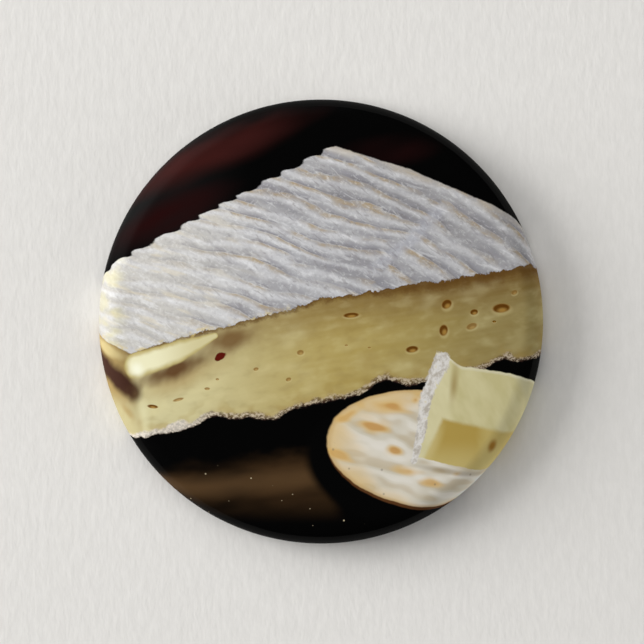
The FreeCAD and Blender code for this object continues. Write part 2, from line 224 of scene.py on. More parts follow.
class Sheet:
    """Builds the nodes of a material, a world or a node group from sums."""

    def __init__(self, tree):
        self.tree = tree
        tree.nodes.clear()

    def node(self, kind, **settings):
        """A new node with its settings."""
        made = self.tree.nodes.new(kind)
        for name, setting in settings.items():
            setattr(made, name, setting)
        return made

    def feed(self, socket, source):
        """Links a socket to a term, or sets it to a plain value."""
        if isinstance(source, Term):
            self.tree.links.new(source.socket, socket)
        else:
            socket.default_value = source

    def math(self, operation, *sources):
        made = self.node("ShaderNodeMath", operation=operation)
        for socket, source in zip(made.inputs, sources):
            self.feed(socket, source)
        return Term(self, made.outputs[0])

    def least(self, *terms):
        result = terms[0]
        for term in terms[1:]:
            result = self.math("MINIMUM", result, term)
        return result

    def most(self, *terms):
        result = terms[0]
        for term in terms[1:]:
            result = self.math("MAXIMUM", result, term)
        return result

    def ramp(self, value, low, high, smooth=True):
        """0 where value is at low, 1 where it is at high."""
        kind = "SMOOTHSTEP" if smooth else "LINEAR"
        made = self.node("ShaderNodeMapRange", interpolation_type=kind, clamp=True)
        self.feed(made.inputs["Value"], value)
        self.feed(made.inputs["From Min"], low)
        self.feed(made.inputs["From Max"], high)
        return Term(self, made.outputs["Result"])

    def split(self, place):
        """The three coordinates of a place."""
        parts = self.node("ShaderNodeSeparateXYZ")
        self.feed(parts.inputs[0], place)
        return [Term(self, output) for output in parts.outputs]

    def coordinates(self, kind):
        """The three coordinates of the point that is shaded, of the kind named."""
        return self.split(Term(self, self.node("ShaderNodeTexCoord").outputs[kind]))

    def point(self, across, up, deep):
        made = self.node("ShaderNodeCombineXYZ")
        for socket, source in zip(made.inputs, (across, up, deep)):
            self.feed(socket, source)
        return Term(self, made.outputs[0])

    def noise(self, place, scale, detail=2.0, rough=0.5, twist=0.0):
        made = self.node("ShaderNodeTexNoise", noise_dimensions="3D")
        self.feed(made.inputs["Vector"], place)
        made.inputs["Scale"].default_value = scale
        made.inputs["Detail"].default_value = detail
        made.inputs["Roughness"].default_value = rough
        made.inputs["Distortion"].default_value = twist
        return Term(self, made.outputs[0])

    def cells(self, place, scale):
        """Distance to the nearest of many scattered points, in cells."""
        made = self.node("ShaderNodeTexVoronoi", feature="F1", voronoi_dimensions="3D")
        self.feed(made.inputs["Vector"], place)
        made.inputs["Scale"].default_value = scale
        return Term(self, made.outputs["Distance"])

    def blend(self, amount, under, over, kind="MIX"):
        """Lays one colour over another by an amount from 0 to 1."""
        made = self.node("ShaderNodeMix", data_type="RGBA", blend_type=kind, clamp_factor=True)
        self.feed(made.inputs[0], amount)
        self.feed(made.inputs[6], under)
        self.feed(made.inputs[7], over)
        return Term(self, made.outputs[2])

    def bump(self, height, distance, strength=1.0):
        """A normal tilted by relief: distance is its height in metres where height goes 0 to 1."""
        made = self.node("ShaderNodeBump")
        made.inputs["Strength"].default_value = strength
        made.inputs["Distance"].default_value = distance
        self.feed(made.inputs["Height"], height)
        return Term(self, made.outputs[0])

    def surface(self, **inputs):
        """The principled shader and the output, with inputs named by their sockets."""
        shader = self.node("ShaderNodeBsdfPrincipled")
        output = self.node("ShaderNodeOutputMaterial")
        self.tree.links.new(shader.outputs[0], output.inputs["Surface"])
        for name, source in inputs.items():
            self.feed(shader.inputs[name.replace("_", " ")], source)


def new_material(name, kind=Sheet):
    """A material, and the sheet or picture that builds its nodes."""
    material = bpy.data.materials.new(name)
    material.use_nodes = True
    return material, kind(material.node_tree)


# ---------------------------------------------------------------- the print
#
# A generic still life in fields of colour: a wedge of white-rinded cheese, a round cracker and
# a cut piece on a dark table. Places are in millimetres from the centre of the badge, angles in
# degrees from the right, and amounts of ink from 0 to 1.


# What every painter is handed besides the colour so far: a point's place, how far it is from the
# edges of the cheese, and where it lies between two folds.
SHARED = ("across", "up", "left", "right", "lower", "foot", "turn")


class Picture(Sheet):
    """A page of the print: its flat coordinates, the edges its painters share, and its colour."""

    def framed(self, centre, angle, long, wide, deep=0.0):
        """The place seen from a centre and a direction, in degrees, in units of long and wide."""
        made = self.node("ShaderNodeMapping", vector_type="TEXTURE")
        self.feed(made.inputs["Vector"], self.place)
        made.inputs["Location"].default_value = (*centre, -deep)
        made.inputs["Rotation"].default_value = (0.0, 0.0, math.radians(angle))
        made.inputs["Scale"].default_value = (long, wide, 1.0)
        return Term(self, made.outputs[0])

    def turned(self, angle, centre=(0.0, 0.0)):
        """Millimetres along and across a direction from a centre."""
        return self.split(self.framed(centre, angle, 1.0, 1.0))[:2]

    def grain(self, angle, along, across, seed, detail=2.0, rough=0.55, twist=0.0, shift=0.0):
        """Noise drawn out along a direction: along and across are its sizes in millimetres.

        Each seed gives a noise of its own, and a shift slides it sideways.
        """
        turn = math.radians(angle)
        centre = (shift * math.sin(turn), -shift * math.cos(turn))
        return self.noise(self.framed(centre, angle, along, across, seed), 1.0, detail, rough, twist)

    def inside(self, corners, wobble=0.0):
        """How far inside a convex outline a point lies, corners anticlockwise."""
        reach = None
        for (x0, y0), (x1, y1) in zip(corners, corners[1:] + corners[:1]):
            length = math.dist((x0, y0), (x1, y1))
            normal = ((y0 - y1) / length, (x1 - x0) / length)
            offset = normal[0] * x0 + normal[1] * y0
            edge = self.across * normal[0] + self.up * normal[1] - offset
            reach = edge if reach is None else self.least(reach, edge)
        return reach + wobble

    def disc(self, centre, half_length, half_width, angle=0.0):
        """1 at the edge of an ellipse, less inside, and up to 2 outside."""
        return self.discs([(centre, half_length, half_width, angle)])

    def discs(self, shapes):
        """The same for the nearest of several ellipses."""
        depth = None
        for centre, half_length, half_width, angle in shapes:
            place = self.framed(centre, angle, 2.0 * half_length, 2.0 * half_width)
            made = self.node("ShaderNodeTexGradient", gradient_type="SPHERICAL")
            self.feed(made.inputs[0], place)
            found = Term(self, made.outputs["Fac"])
            depth = found if depth is None else self.most(depth, found)
        return 2.0 - depth * 2.0

    def stroke(self, start, end, wide, narrow):
        """1 at the edge of a straight stroke that narrows from start to end, 0 on its line."""
        run = math.dist(start, end)
        angle = math.degrees(math.atan2(end[1] - start[1], end[0] - start[0]))
        along, side = self.turned(angle, start)
        held = self.least(self.most(along, 0.0), run)
        beyond = along - held
        reach = self.math("SQRT", beyond * beyond + side * side)
        return reach / (held * ((narrow - wide) / run) + wide)

    def swell(self, value, centre, width, height):
        """A rounded bump along a line, to push an edge in or out."""
        return self.ramp(abs(value - centre), width, 0.0) * height

    def lay(self, amount, colour, kind="MIX"):
        """Puts ink on the page."""
        self.colour = self.blend(amount, self.colour, colour, kind)

    def part(self, paint):
        """Runs one painter in a node group of its own, which keeps every tree small."""
        tree = bpy.data.node_groups.new(paint.__name__, "ShaderNodeTree")
        tree.interface.new_socket("colour", in_out="OUTPUT", socket_type="NodeSocketColor")
        tree.interface.new_socket("colour", in_out="INPUT", socket_type="NodeSocketColor")
        tree.interface.new_socket("place", in_out="INPUT", socket_type="NodeSocketVector")
        for name in SHARED:
            tree.interface.new_socket(name, in_out="INPUT", socket_type="NodeSocketFloat")
        page = Picture(tree)
        start = page.node("NodeGroupInput")
        group = self.node("ShaderNodeGroup", node_tree=tree)
        for name in ("colour", "place", *SHARED):
            setattr(page, name, Term(page, start.outputs[name]))
            self.feed(group.inputs[name], getattr(self, name))
        paint(page)
        page.feed(page.node("NodeGroupOutput").inputs[0], page.colour)
        self.colour = Term(self, group.outputs[0])


def fold(page, angle, spacing, seed, sway):
    """Where a point lies between two creases of the skin: 0 just under one, 1 at the next."""
    side = page.turned(angle)[1]
    bend = (page.grain(angle, 18, 10, seed, detail=1.0) - 0.5) * sway
    bend = bend + (page.grain(angle, 6, 2.6, seed + 1.0) - 0.5) * 2.0
    return page.math("FRACT", (bend - side) / spacing)


def rind_edges(page):
    """How far inside the top's two back edges a point lies; the folds scallop the left one."""
    ragged = (page.grain(30, 0.9, 0.9, 5.3, detail=3.0, rough=0.6) - 0.5) * 0.35
    scallop = page.ramp(page.turn, 0.0, 0.4) * page.ramp(page.turn, 1.0, 0.6) * 0.42 - 0.2
    left = (page.across * 0.53 - page.up + 21.4) * 0.884 + ragged + scallop
    flat = (22.8 - page.across * 0.31 - page.up) * 0.955
    steep = (24.1 - page.across * 0.425 - page.up) * 0.92
    return left, page.least(flat, steep) + ragged


def lower_edge(page):
    """Height over the edge where the white top meets the cut face; it turns at the near corner."""
    broad = (page.grain(14, 5.0, 5.0, 1.7) - 0.5) * 1.3
    crumbled = (page.grain(30, 1.1, 1.1, 7.3, detail=3.0, rough=0.7) - 0.5) * 1.5
    front = page.least(page.across * 0.28 + 2.7, page.across * 0.165 + 2.7)
    side = page.across * -0.44 - 14.65
    calm = page.ramp(page.across, -26.0, -16.0) * 0.75 + 0.25
    return page.up - page.most(front, side) + (broad + crumbled) * calm


def foot_edge(page):
    """Height over the ragged foot of the cut face."""
    ragged = page.grain(30, 1.1, 1.1, 5.3, detail=3.0, rough=0.6) - 0.5
    line = page.up - page.across * 0.2 + 10.2 + ragged
    for centre, width, height in (
        (-13.6, 3.4, -0.9), (-6.2, 3.6, 0.9), (7.9, 3.4, -1.2), (23.0, 2.8, -0.8),
    ):
        line = line + page.swell(page.across, centre, width, height)
    return line


def paint_ground(page):
    """Near black, with soft red-brown streaks behind the cheese and a brown table in front."""
    drift = page.grain(24, 16, 5, 3.1)
    waver = (drift - 0.5) * 2.4
    smoke = page.ramp(drift, 0.2, 0.6)
    # Painted sheen: the black is lifted to dark grey in the upper left, where the film's soft gloss shows.
    page.lay(page.ramp(page.across, -8, -20) * page.ramp(page.up, 6, 14) * 0.9, ink(20, 20, 20))
    for centre, angle, long, wide, tone in (
        ((-14.0, 21.4), 22, 17.0, 3.4, ink(54, 23, 21)),
        ((-19.4, 13.5), 26, 11.0, 3.0, ink(34, 11, 11)),
        ((9.0, 21.6), 4, 8.0, 2.6, ink(24, 9, 9)),
    ):
        reach = page.disc(centre, long, wide, angle) + waver * 0.3
        page.lay(page.ramp(reach, 1.05, 0.2) * smoke, tone)
    table = page.grain(6, 11, 3.5, 8.4)
    top = page.up - page.across * 0.17 + 15.6 + (page.grain(6, 7, 4, 12.2, detail=3.0) - 0.5) * 4.0
    lit = page.ramp(top, 0.8, -2.6) * page.ramp(page.up, -26.0, -20.4)
    lit = lit * page.ramp(page.across - (page.up + 20) * (page.up + 20) * 0.05, 2.4, 0.2)
    page.lay(lit * page.ramp(table, 0.15, 0.7), ink(62, 44, 26))
    sheen = page.ramp(abs(page.up - page.across * 0.1 + 19.6), 2.4, 0.0) * lit
    page.lay(sheen * 0.45, ink(98, 74, 48))
    crumb = page.cells(page.point(page.across, page.up, 0.3), 0.7)
    sown = page.ramp(top, 0.0, -3.0) * page.ramp(page.up, -26.5, -25.5)
    page.lay(page.ramp(crumb, 0.09, 0.045) * sown, ink(196, 182, 150))


def paint_paste(page):
    """The cut face: pale and yellow low on the left, browner to the right and under the rind."""
    lower = page.lower
    knife = page.grain(10, 18, 1.2, 21.0)
    cloud = page.grain(14, 6, 3.6, 23.0)
    tone = page.blend(page.ramp(page.across, -22, 4), ink(198, 190, 146), ink(173, 153, 89))
    tone = page.blend(page.ramp(page.across, 2, 26), tone, ink(144, 127, 77))
    high = page.ramp(lower + (cloud - 0.5) * 2.0, -6.4, 0.2)
    tone = page.blend(high * (page.ramp(page.across, -16, 12) * 0.5 + 0.38), tone, ink(112, 82, 36))
    tone = page.blend(page.ramp(cloud, 0.5, 0.8) * 0.35, tone, ink(216, 206, 156))
    tone = page.blend(page.ramp(cloud, 0.45, 0.2) * 0.25, tone, ink(150, 124, 70))
    tone = page.blend(page.ramp(knife, 0.3, 0.7) * 0.07, tone, ink(222, 214, 168))
    relief = page.ramp(page.foot, 3.2, 0.5)
    relief = relief * page.ramp(page.grain(20, 2.6, 1.7, 27.0, detail=1.0), 0.46, 0.6)
    tone = page.blend(relief * 0.45, tone, ink(160, 136, 76))
    tone = page.blend(page.ramp(page.foot, 1.3, 0.2) * 0.25, tone, ink(150, 118, 70))
    mottle = page.grain(10, 2.4, 1.3, 25.0, rough=0.5)
    tone = page.blend(page.ramp(mottle, 0.5, 0.75) * 0.14, tone, ink(222, 212, 160))
    tone = page.blend(page.ramp(mottle, 0.5, 0.25) * 0.16, tone, ink(120, 96, 50))
    page.lay(page.ramp(lower, 0.1, -0.1) * page.ramp(page.foot, -0.1, 0.1), tone)


def paint_eyes(page):
    """Small holes in the paste: dark under the upper lip, light on the lower one."""
    mass = page.ramp(page.lower, 0.05, -0.15)
    dark_eyes = (
        ((22.9, 1.7), 1.15, 0.58, 6), ((15.9, 2.2), 0.7, 0.55, 35), ((19.4, 1.2), 0.52, 0.36, 12),
        ((15.5, -1.1), 0.72, 0.55, 80), ((22.0, 0.0), 0.26, 0.15, 0), ((11.5, -3.5), 0.8, 0.42, 8),
        ((3.8, 0.8), 1.0, 0.32, 4), ((-21.4, -10.8), 0.7, 0.24, -6),
    )
    pale_eyes = (
        ((19.1, -0.6), 0.72, 0.38, 20), ((24.6, 3.7), 0.42, 0.28, 25), ((-2.6, -3.9), 0.45, 0.32, 10),
        ((-4.1, -7.3), 0.36, 0.24, 20), ((-8.2, -6.0), 0.34, 0.22, 12), ((-18.1, -9.9), 0.72, 0.2, 15),
        ((-14.4, -8.5), 0.36, 0.18, 0), ((-13.1, -7.3), 0.22, 0.14, 0), ((3.2, -3.0), 0.2, 0.12, 0),
        ((6.1, -3.3), 0.2, 0.12, 0),
    )
    for eyes, deep in ((dark_eyes, 0.95), (pale_eyes, 0.45)):
        reach = page.discs(eyes)
        below = page.discs([
            ((x + tall * 0.2, y - tall * 0.45), long, tall, angle) for (x, y), long, tall, angle in eyes
        ])
        page.lay(page.ramp(below, 1.45, 0.8) * mass * 0.3, ink(214, 200, 146))
        page.lay(page.ramp(reach, 1.2, 0.75) * (deep * 0.5 + 0.45), ink(160, 120, 52))
        page.lay(page.ramp(reach, 1.1, 0.75) * page.ramp(below, 0.15, 0.8) * deep, ink(92, 54, 14))


def paint_crust(page):
    """The rind's thin edge: brown under the top, pale and crumbly along the foot."""
    lower = page.lower
    base = page.foot
    crumbs = page.grain(12, 0.5, 0.4, 31.0, rough=0.7)
    patchy = page.grain(12, 3.0, 3.0, 33.0, detail=3.0)
    right = page.ramp(page.across, 0.0, 20.0)
    under = page.ramp(lower, right * -1.5 - 0.8, -0.05) * page.ramp(lower, 0.12, -0.08)
    page.lay(under * (page.ramp(patchy, 0.2, 0.6) * 0.4 + 0.45), ink(92, 62, 28))
    thick = patchy * 2.4 - 0.65 + page.swell(page.across, -17.6, 3.0, 0.5)
    foot = page.ramp(base - thick, 0.3, -0.15) * page.ramp(base, -0.12, 0.08)
    foot_tone = page.blend(page.ramp(crumbs, 0.4, 0.6), ink(72, 52, 44), ink(200, 187, 172))
    white = page.ramp(page.across, -12, -18)
    foot_tone = page.blend(white * 0.6, foot_tone, ink(222, 216, 206))
    page.lay(foot * (white * 0.25 + 0.65), foot_tone)
    line = page.ramp(base, 0.4, 0.05) * page.ramp(base, -0.25, 0.0)
    page.lay(line * page.ramp(crumbs, 0.62, 0.42) * (0.85 - white * 0.5), ink(52, 34, 32))


def paint_corner(page):
    """The near corner: a turned side face in shade, and a soft lip of paste that sags under the top."""
    below = page.ramp(page.lower, 0.08, -0.12)
    side = page.inside([(-40, -15.0), (-22.2, -15.0), (-23.5, -9.0), (-24.3, -4.0), (-40, 6)])
    cloud = page.grain(60, 4.0, 2.6, 41.0)
    uneven = (cloud - 0.5) * 0.8
    face = page.blend(page.ramp(page.up, -8.5, -12.0), ink(150, 128, 82), ink(180, 170, 128))
    face = page.blend(page.ramp(cloud, 0.52, 0.8) * 0.3, face, ink(150, 118, 70))
    page.lay(page.ramp(side, -0.6, 0.7) * below * page.ramp(page.foot, 0.45, 0.8), face)
    ridge = page.disc((-22.5, -11.7), 2.8, 0.95, -84) + uneven
    page.lay(page.ramp(ridge, 1.1, 0.1) * 0.55, ink(216, 211, 170))
    dent = page.disc((-24.7, -11.6), 1.8, 0.75, -46) + uneven
    page.lay(page.ramp(dent, 1.1, 0.1) * 0.5, ink(150, 118, 62))
    dark = page.stroke((-30.5, -4.2), (-23.9, -8.9), 2.0, 1.6) + uneven
    page.lay(page.ramp(dark, 1.1, 0.35) * below * 0.95, ink(52, 26, 25))
    light = page.disc((-27.8, -3.4), 3.3, 0.95, -27) + uneven
    page.lay(page.ramp(light, 1.05, 0.4) * below * 0.9, ink(186, 170, 122))
    warm = page.disc((-18.0, -7.1), 7.4, 2.4, 20) + uneven
    page.lay(page.ramp(warm, 1.15, 0.1) * below * 0.55, ink(158, 130, 76))
    shadow = page.disc((-18.4, -6.0), 6.4, 1.6, 23) + uneven
    page.lay(page.ramp(shadow, 1.1, 0.2) * below * 0.92, ink(84, 52, 28))
    hollow = page.disc((-11.4, -2.3), 4.4, 1.9, 20) + uneven
    page.lay(page.ramp(hollow, 1.15, 0.2) * below * 0.8, ink(100, 66, 32))
    wander = (page.grain(20, 2.4, 2.4, 43.0) - 0.5) * 0.5
    lip = page.least(
        page.stroke((-23.3, -5.6), (-17.6, -3.7), 1.8, 1.35),
        page.stroke((-17.6, -3.7), (-13.4, -1.8), 1.35, 0.4),
    )
    page.lay(page.ramp(lip + wander, 1.06, 0.8) * below, ink(176, 160, 98))
    fade = page.ramp(page.across, -15.0, -22.0) * 0.5 + 0.42
    page.lay(page.ramp(lip + wander, 1.0, 0.4) * below * fade, ink(230, 227, 192))
    bead = page.disc((-23.4, -6.1), 1.3, 1.2) + uneven
    page.lay(page.ramp(bead, 1.1, 0.1) * below * 0.8, ink(240, 240, 218))
    page.lay(page.ramp(page.lower, -0.7, -0.1) * page.ramp(lip, 1.1, 0.6) * below * 0.7, ink(176, 152, 84))
    notch = page.disc((-15.8, -0.9), 1.4, 0.36, 64) + wander
    page.lay(page.ramp(notch, 1.1, 0.5) * 0.85, ink(202, 180, 112))
    blot = page.disc((-12.7, -4.4), 0.85, 0.5, 35) + (page.grain(0, 0.8, 0.8, 47.0) - 0.5) * 0.9
    page.lay(page.ramp(blot, 1.05, 0.8), ink(86, 22, 14))


def shade_folds(page, tone, turn, seed, angle, strength, across):
    """Colours a skin's folds: tan along each crest, white on its face, blue-grey at its foot."""
    broken = page.grain(angle, 5.5, 1.8, seed)
    held = page.ramp(broken, 0.36, 0.58) * strength
    fleck = page.ramp(page.grain(angle, 1.6, 0.7, seed + 1.0, rough=0.65), 0.36, 0.62)
    crest = page.ramp(turn, 0.0, 0.06) * page.ramp(turn, across, 0.1)
    face = page.ramp(turn, 0.12, 0.35) * page.ramp(turn, 0.75, 0.45)
    tone = page.blend(face * 0.5, tone, ink(211, 211, 213))
    tone = page.blend(page.ramp(turn, 0.5, 0.98) * held * 0.62, tone, ink(130, 130, 138))
    foot = page.ramp(turn, 0.82, 0.97) * page.ramp(turn, 1.0, 0.99) * held
    tone = page.blend(foot * 0.5, tone, ink(116, 111, 112))
    return page.blend(crest * held * (fleck * 0.6 + 0.3), tone, ink(168, 149, 118))


def paint_rind(page):
    """The white top: soft folds that slope down to the right, and a channel that parts them."""
    lower = page.lower
    top = page.ramp(page.least(page.left, page.right, lower), -0.08, 0.1)
    swell = page.grain(-17, 9.0, 5.0, 59.0)
    patch = page.grain(-10, 5.0, 3.0, 67.0)
    fluff = page.noise(page.point(page.across, page.up, 71.0), 1.9, rough=0.7)
    crease = page.grain(-40, 1.7, 0.5, 73.0, rough=0.6, twist=0.6)
    tone = page.blend(page.ramp(swell, 0.34, 0.64), ink(152, 151, 154), ink(190, 190, 192))
    tone = page.blend(page.ramp(page.up + page.across * 0.4, 8.0, 20.0) * 0.5, tone, ink(152, 150, 149))
    pale = page.ramp(page.across, -4, -20)
    tone = page.blend(pale * 0.8, tone, ink(196, 193, 186))
    tone = page.blend(page.ramp(page.across, -6, 6) * 0.25, tone, ink(142, 141, 144))
    run, side = page.turned(42, (9.0, 8.4))
    spine = page.ramp(page.across - page.up * 0.85 + swell * 2.0, 2.9, 3.7)
    smooth = page.ramp(page.disc((0.5, 5.6), 9.5, 3.2, 14), 1.1, 0.5)
    strength = (page.ramp(page.across, -22, -6) * 0.75 + 0.25) * (1.0 - smooth * 0.75)
    near = shade_folds(page, tone, page.turn, 61.0, -16, strength, 0.42)
    far = shade_folds(page, tone, fold(page, -34, 2.7, 81.0, 3.0), 63.0, -34, 1.0, 0.45)
    tone = page.blend(spine, near, far)
    channel = page.ramp(abs(side + (swell - 0.5) * 2.0), 1.2, 0.2) * page.ramp(abs(run - 3.0), 8.0, 4.0)
    tone = page.blend(channel * 0.75, tone, ink(176, 177, 184))
    wrinkle = page.grain(-24, 3.2, 0.9, 57.0, detail=3.0, rough=0.6, twist=0.4)
    tone = page.blend(page.ramp(wrinkle, 0.48, 0.34) * (0.42 - pale * 0.2), tone, ink(150, 148, 154))
    tone = page.blend(page.ramp(wrinkle, 0.55, 0.7) * 0.42, tone, ink(230, 230, 231))
    tone = page.blend(page.ramp(fluff, 0.48, 0.3) * 0.22, tone, ink(146, 140, 140))
    tone = page.blend(page.ramp(fluff, 0.52, 0.7) * 0.22, tone, ink(238, 238, 237))
    tone = page.blend(page.ramp(crease, 0.42, 0.3) * (0.5 - pale * 0.25), tone, ink(134, 130, 130))
    tone = page.blend(page.ramp(crease, 0.6, 0.72) * 0.3, tone, ink(228, 228, 228))
    streak = page.ramp(page.grain(-18, 6.0, 1.1, 77.0), 0.54, 0.66)
    tone = page.blend(streak * pale * 0.4, tone, ink(214, 203, 176))
    rim = page.ramp(page.right, 1.3, 0.2)
    tone = page.blend(rim * page.ramp(patch, 0.3, 0.6) * 0.6, tone, ink(190, 180, 164))
    page.lay(top, tone)
    flake = page.ramp(page.across, -24.0, -27.0) * page.ramp(patch, 0.42, 0.55)
    page.lay(top * flake * 0.5, ink(206, 198, 140))
    # Painted shade: the top is darker at its far left end by the rim, to damp the key lamp's glow there.
    page.lay(top * page.ramp(page.across, -25.0, -30.0) * 0.55, ink(150, 148, 142))
    nick = page.ramp(lower, 0.7, 0.1) * page.ramp(page.grain(0, 1.3, 1.3, 79.0, detail=3.0), 0.5, 0.62)
    page.lay(top * nick * page.ramp(page.across, 2, -8) * 0.75, ink(206, 186, 124))


def paint_cracker(page):
    """A round cracker seen at a slant: pale, softly swollen, toasted in spots and at its edge."""
    centre, long, wide, angle = (14.0, -16.3), 13.4, 7.5, -8
    rough = (page.grain(0, 2.2, 2.2, 81.0) - 0.5) * 0.04
    shadow = page.disc((12.2, -18.2), long + 0.5, wide + 0.7, angle)
    page.lay(page.ramp(shadow, 1.08, 0.96), ink(6, 6, 6))
    under = page.disc((14.1, -16.75), long, wide, angle) + rough
    page.lay(page.ramp(under, 1.012, 0.99), ink(86, 54, 30))
    disc = page.disc(centre, long, wide, angle) + rough
    on = page.ramp(disc, 1.01, 0.985)
    swell = page.grain(-14, 4.4, 2.2, 83.0, detail=1.0, rough=0.4)
    lifted = page.grain(-14, 4.4, 2.2, 83.0, detail=1.0, rough=0.4, shift=0.6)
    slope = swell - lifted
    tone = page.blend(page.ramp(swell, 0.3, 0.7), ink(205, 198, 180), ink(221, 215, 201))
    tone = page.blend(page.ramp(slope, 0.0, 0.12) * 0.4, tone, ink(236, 232, 224))
    tone = page.blend(page.ramp(slope, 0.0, -0.12) * 0.4, tone, ink(184, 162, 122))
    toast = disc + (swell - 0.5) * 0.5 - page.ramp(page.across - page.up, 24, 36) * 0.25
    tone = page.blend(page.ramp(toast, 0.6, 1.0) * 0.8, tone, ink(214, 184, 124))
    tone = page.blend(page.ramp(disc, 0.93, 1.0) * 0.6, tone, ink(192, 156, 100))
    edge = slope * 2.5
    bold = page.discs([
        ((6.9, -13.2), 2.1, 1.05, -10), ((8.9, -10.6), 3.6, 1.05, 2), ((12.0, -9.9), 0.9, 0.85, 0),
        ((9.3, -16.4), 1.6, 1.1, -14),
    ]) + edge
    faint = page.discs([
        ((11.2, -19.0), 2.1, 0.75, -8), ((13.8, -20.3), 1.75, 0.7, -8), ((17.3, -19.4), 0.9, 0.5, 0),
        ((3.4, -11.9), 2.75, 0.7, 35), ((2.2, -16.9), 2.0, 0.7, -30),
    ]) + edge
    for spot, deep in ((bold, 0.8), (faint, 0.35)):
        tone = page.blend(page.ramp(spot, 1.2, 0.2) * 0.75, tone, ink(216, 178, 106))
        tone = page.blend(page.ramp(spot, 0.6, 0.1) * (deep * 0.7), tone, ink(184, 126, 58))
    dots = page.cells(page.point(page.across, page.up, 6.0), 0.6)
    tone = page.blend(page.ramp(dots, 0.12, 0.07) * 0.45, tone, ink(120, 104, 96))
    page.lay(on, tone)
    cast = page.disc((16.4, -19.1), 5.0, 0.5, -10)
    page.lay(page.ramp(cast, 1.2, 0.2) * on * 0.5, ink(128, 106, 66))


def paint_piece(page):
    """The cut piece on the cracker: a lit top, a darker front and its strip of white rind."""
    wobble = (page.grain(0, 1.4, 1.4, 91.0) - 0.5) * 0.35
    cloud = page.grain(-60, 4, 2, 93.0)
    body = page.least(
        page.inside([
            (11.6, -18.0), (13.0, -18.6), (21.4, -19.4), (28.0, -21.0), (38.0, -12.0),
            (33.0, -9.6), (27.6, -7.7), (20.8, -5.6), (14.6, -3.9),
        ], wobble),
        page.up * -1 - page.across * 0.14 - 3.2 - wobble + page.ramp(page.across, 18.0, 15.0) * 1.4,
    )
    on = page.ramp(body, -0.08, 0.08)
    tone = page.blend(page.ramp(cloud, 0.3, 0.7), ink(198, 189, 139), ink(210, 202, 156))
    tone = page.blend(page.ramp(page.across, 17.0, 16.0) * 0.4, tone, ink(226, 220, 180))
    tone = page.blend(page.ramp(page.across + page.up * 0.55, 20.2, 21.8) * 0.5, tone, ink(184, 180, 148))
    page.lay(on, tone)
    page.lay(on * page.ramp(body, 0.5, 0.1) * page.ramp(page.up, -11, -7) * 0.5, ink(226, 222, 200))
    front = page.inside([
        (12.4, -18.6), (14.0, -19.4), (21.4, -20.6), (30, -20), (30.0, -15.6), (15.4, -12.3),
    ], wobble)
    shade = page.blend(page.ramp(page.up, -14.5, -19.0), ink(178, 152, 78), ink(196, 178, 114))
    edge = page.disc((13.6, -15.8), 4.0, 1.4, 64)
    shade = page.blend(page.ramp(edge, 1.2, 0.3) * 0.7, shade, ink(206, 190, 130))
    shade = page.blend(page.ramp(page.across + cloud, 20.0, 21.6) * 0.4, shade, ink(210, 196, 134))
    page.lay(on * page.ramp(front, -0.3, 0.4), shade)
    groove = page.disc((16.8, -8.4), 3.6, 0.6, 84)
    page.lay(on * page.ramp(groove, 1.3, 0.0) * page.ramp(page.up, -11.8, -8.0) * 0.6, ink(150, 122, 64))
    hole = page.disc((21.9, -15.9), 0.5, 0.75, -20)
    page.lay(on * page.ramp(hole, 1.7, 0.3) * 0.9, ink(146, 100, 34))
    crumbs = page.grain(70, 0.9, 0.7, 97.0, detail=3.0, rough=0.6)
    strip = page.least(
        page.stroke((15.4, -4.9), (13.3, -9.4), 1.0, 0.7),
        page.stroke((13.3, -9.4), (12.6, -14.4), 0.7, 0.55),
        page.stroke((12.6, -14.4), (11.8, -17.7), 0.55, 0.4),
    )
    rind = page.blend(page.ramp(crumbs, 0.34, 0.6), ink(186, 178, 166), ink(224, 221, 216))
    rind = page.blend(page.ramp(crumbs, 0.6, 0.72) * 0.5, rind, ink(214, 200, 150))
    page.lay(page.ramp(strip + (crumbs - 0.5) * 1.6, 1.2, 0.85), rind)


def paint_rim_light(page):
    """Painted light on the turn over the rim: lighter on the right, offsetting the shoulder's shade."""
    reach = page.disc((0.0, 0.0), 30.0, 30.0)
    right = page.ramp(page.across - page.up * 0.3, 12.0, 27.0)
    page.lay(page.ramp(reach, 0.84, 1.02) * right * 0.5, ink(231, 231, 231), "DODGE")


def print_material():
    """The printed paper with its clear film: a matt picture under a smooth clear coat."""
    material, page = new_material("printed_film", Picture)
    page.place = Term(page, page.node("ShaderNodeUVMap", uv_map="print_mm").outputs[0])
    page.across, page.up = page.split(page.place)[:2]
    page.turn = fold(page, -16, 2.0, 51.0, 5.5)
    page.left, page.right = rind_edges(page)
    page.lower = lower_edge(page)
    page.foot = foot_edge(page)
    page.colour = ink(5, 5, 5)
    for paint in (
        paint_ground, paint_paste, paint_eyes, paint_crust, paint_corner,
        paint_rind, paint_cracker, paint_piece, paint_rim_light,
    ):
        page.part(paint)
    ripple = page.noise(page.point(page.across, page.up, 2.0), 0.35)
    page.surface(
        Base_Color=page.colour,
        Roughness=0.6,
        Specular_IOR_Level=0.0,
        Coat_Weight=0.1,
        Coat_Roughness=0.05,
        Coat_IOR=1.5,
        Coat_Normal=page.bump(ripple, 0.00004),
    )
    return material


# ---------------------------------------------------------------- metals


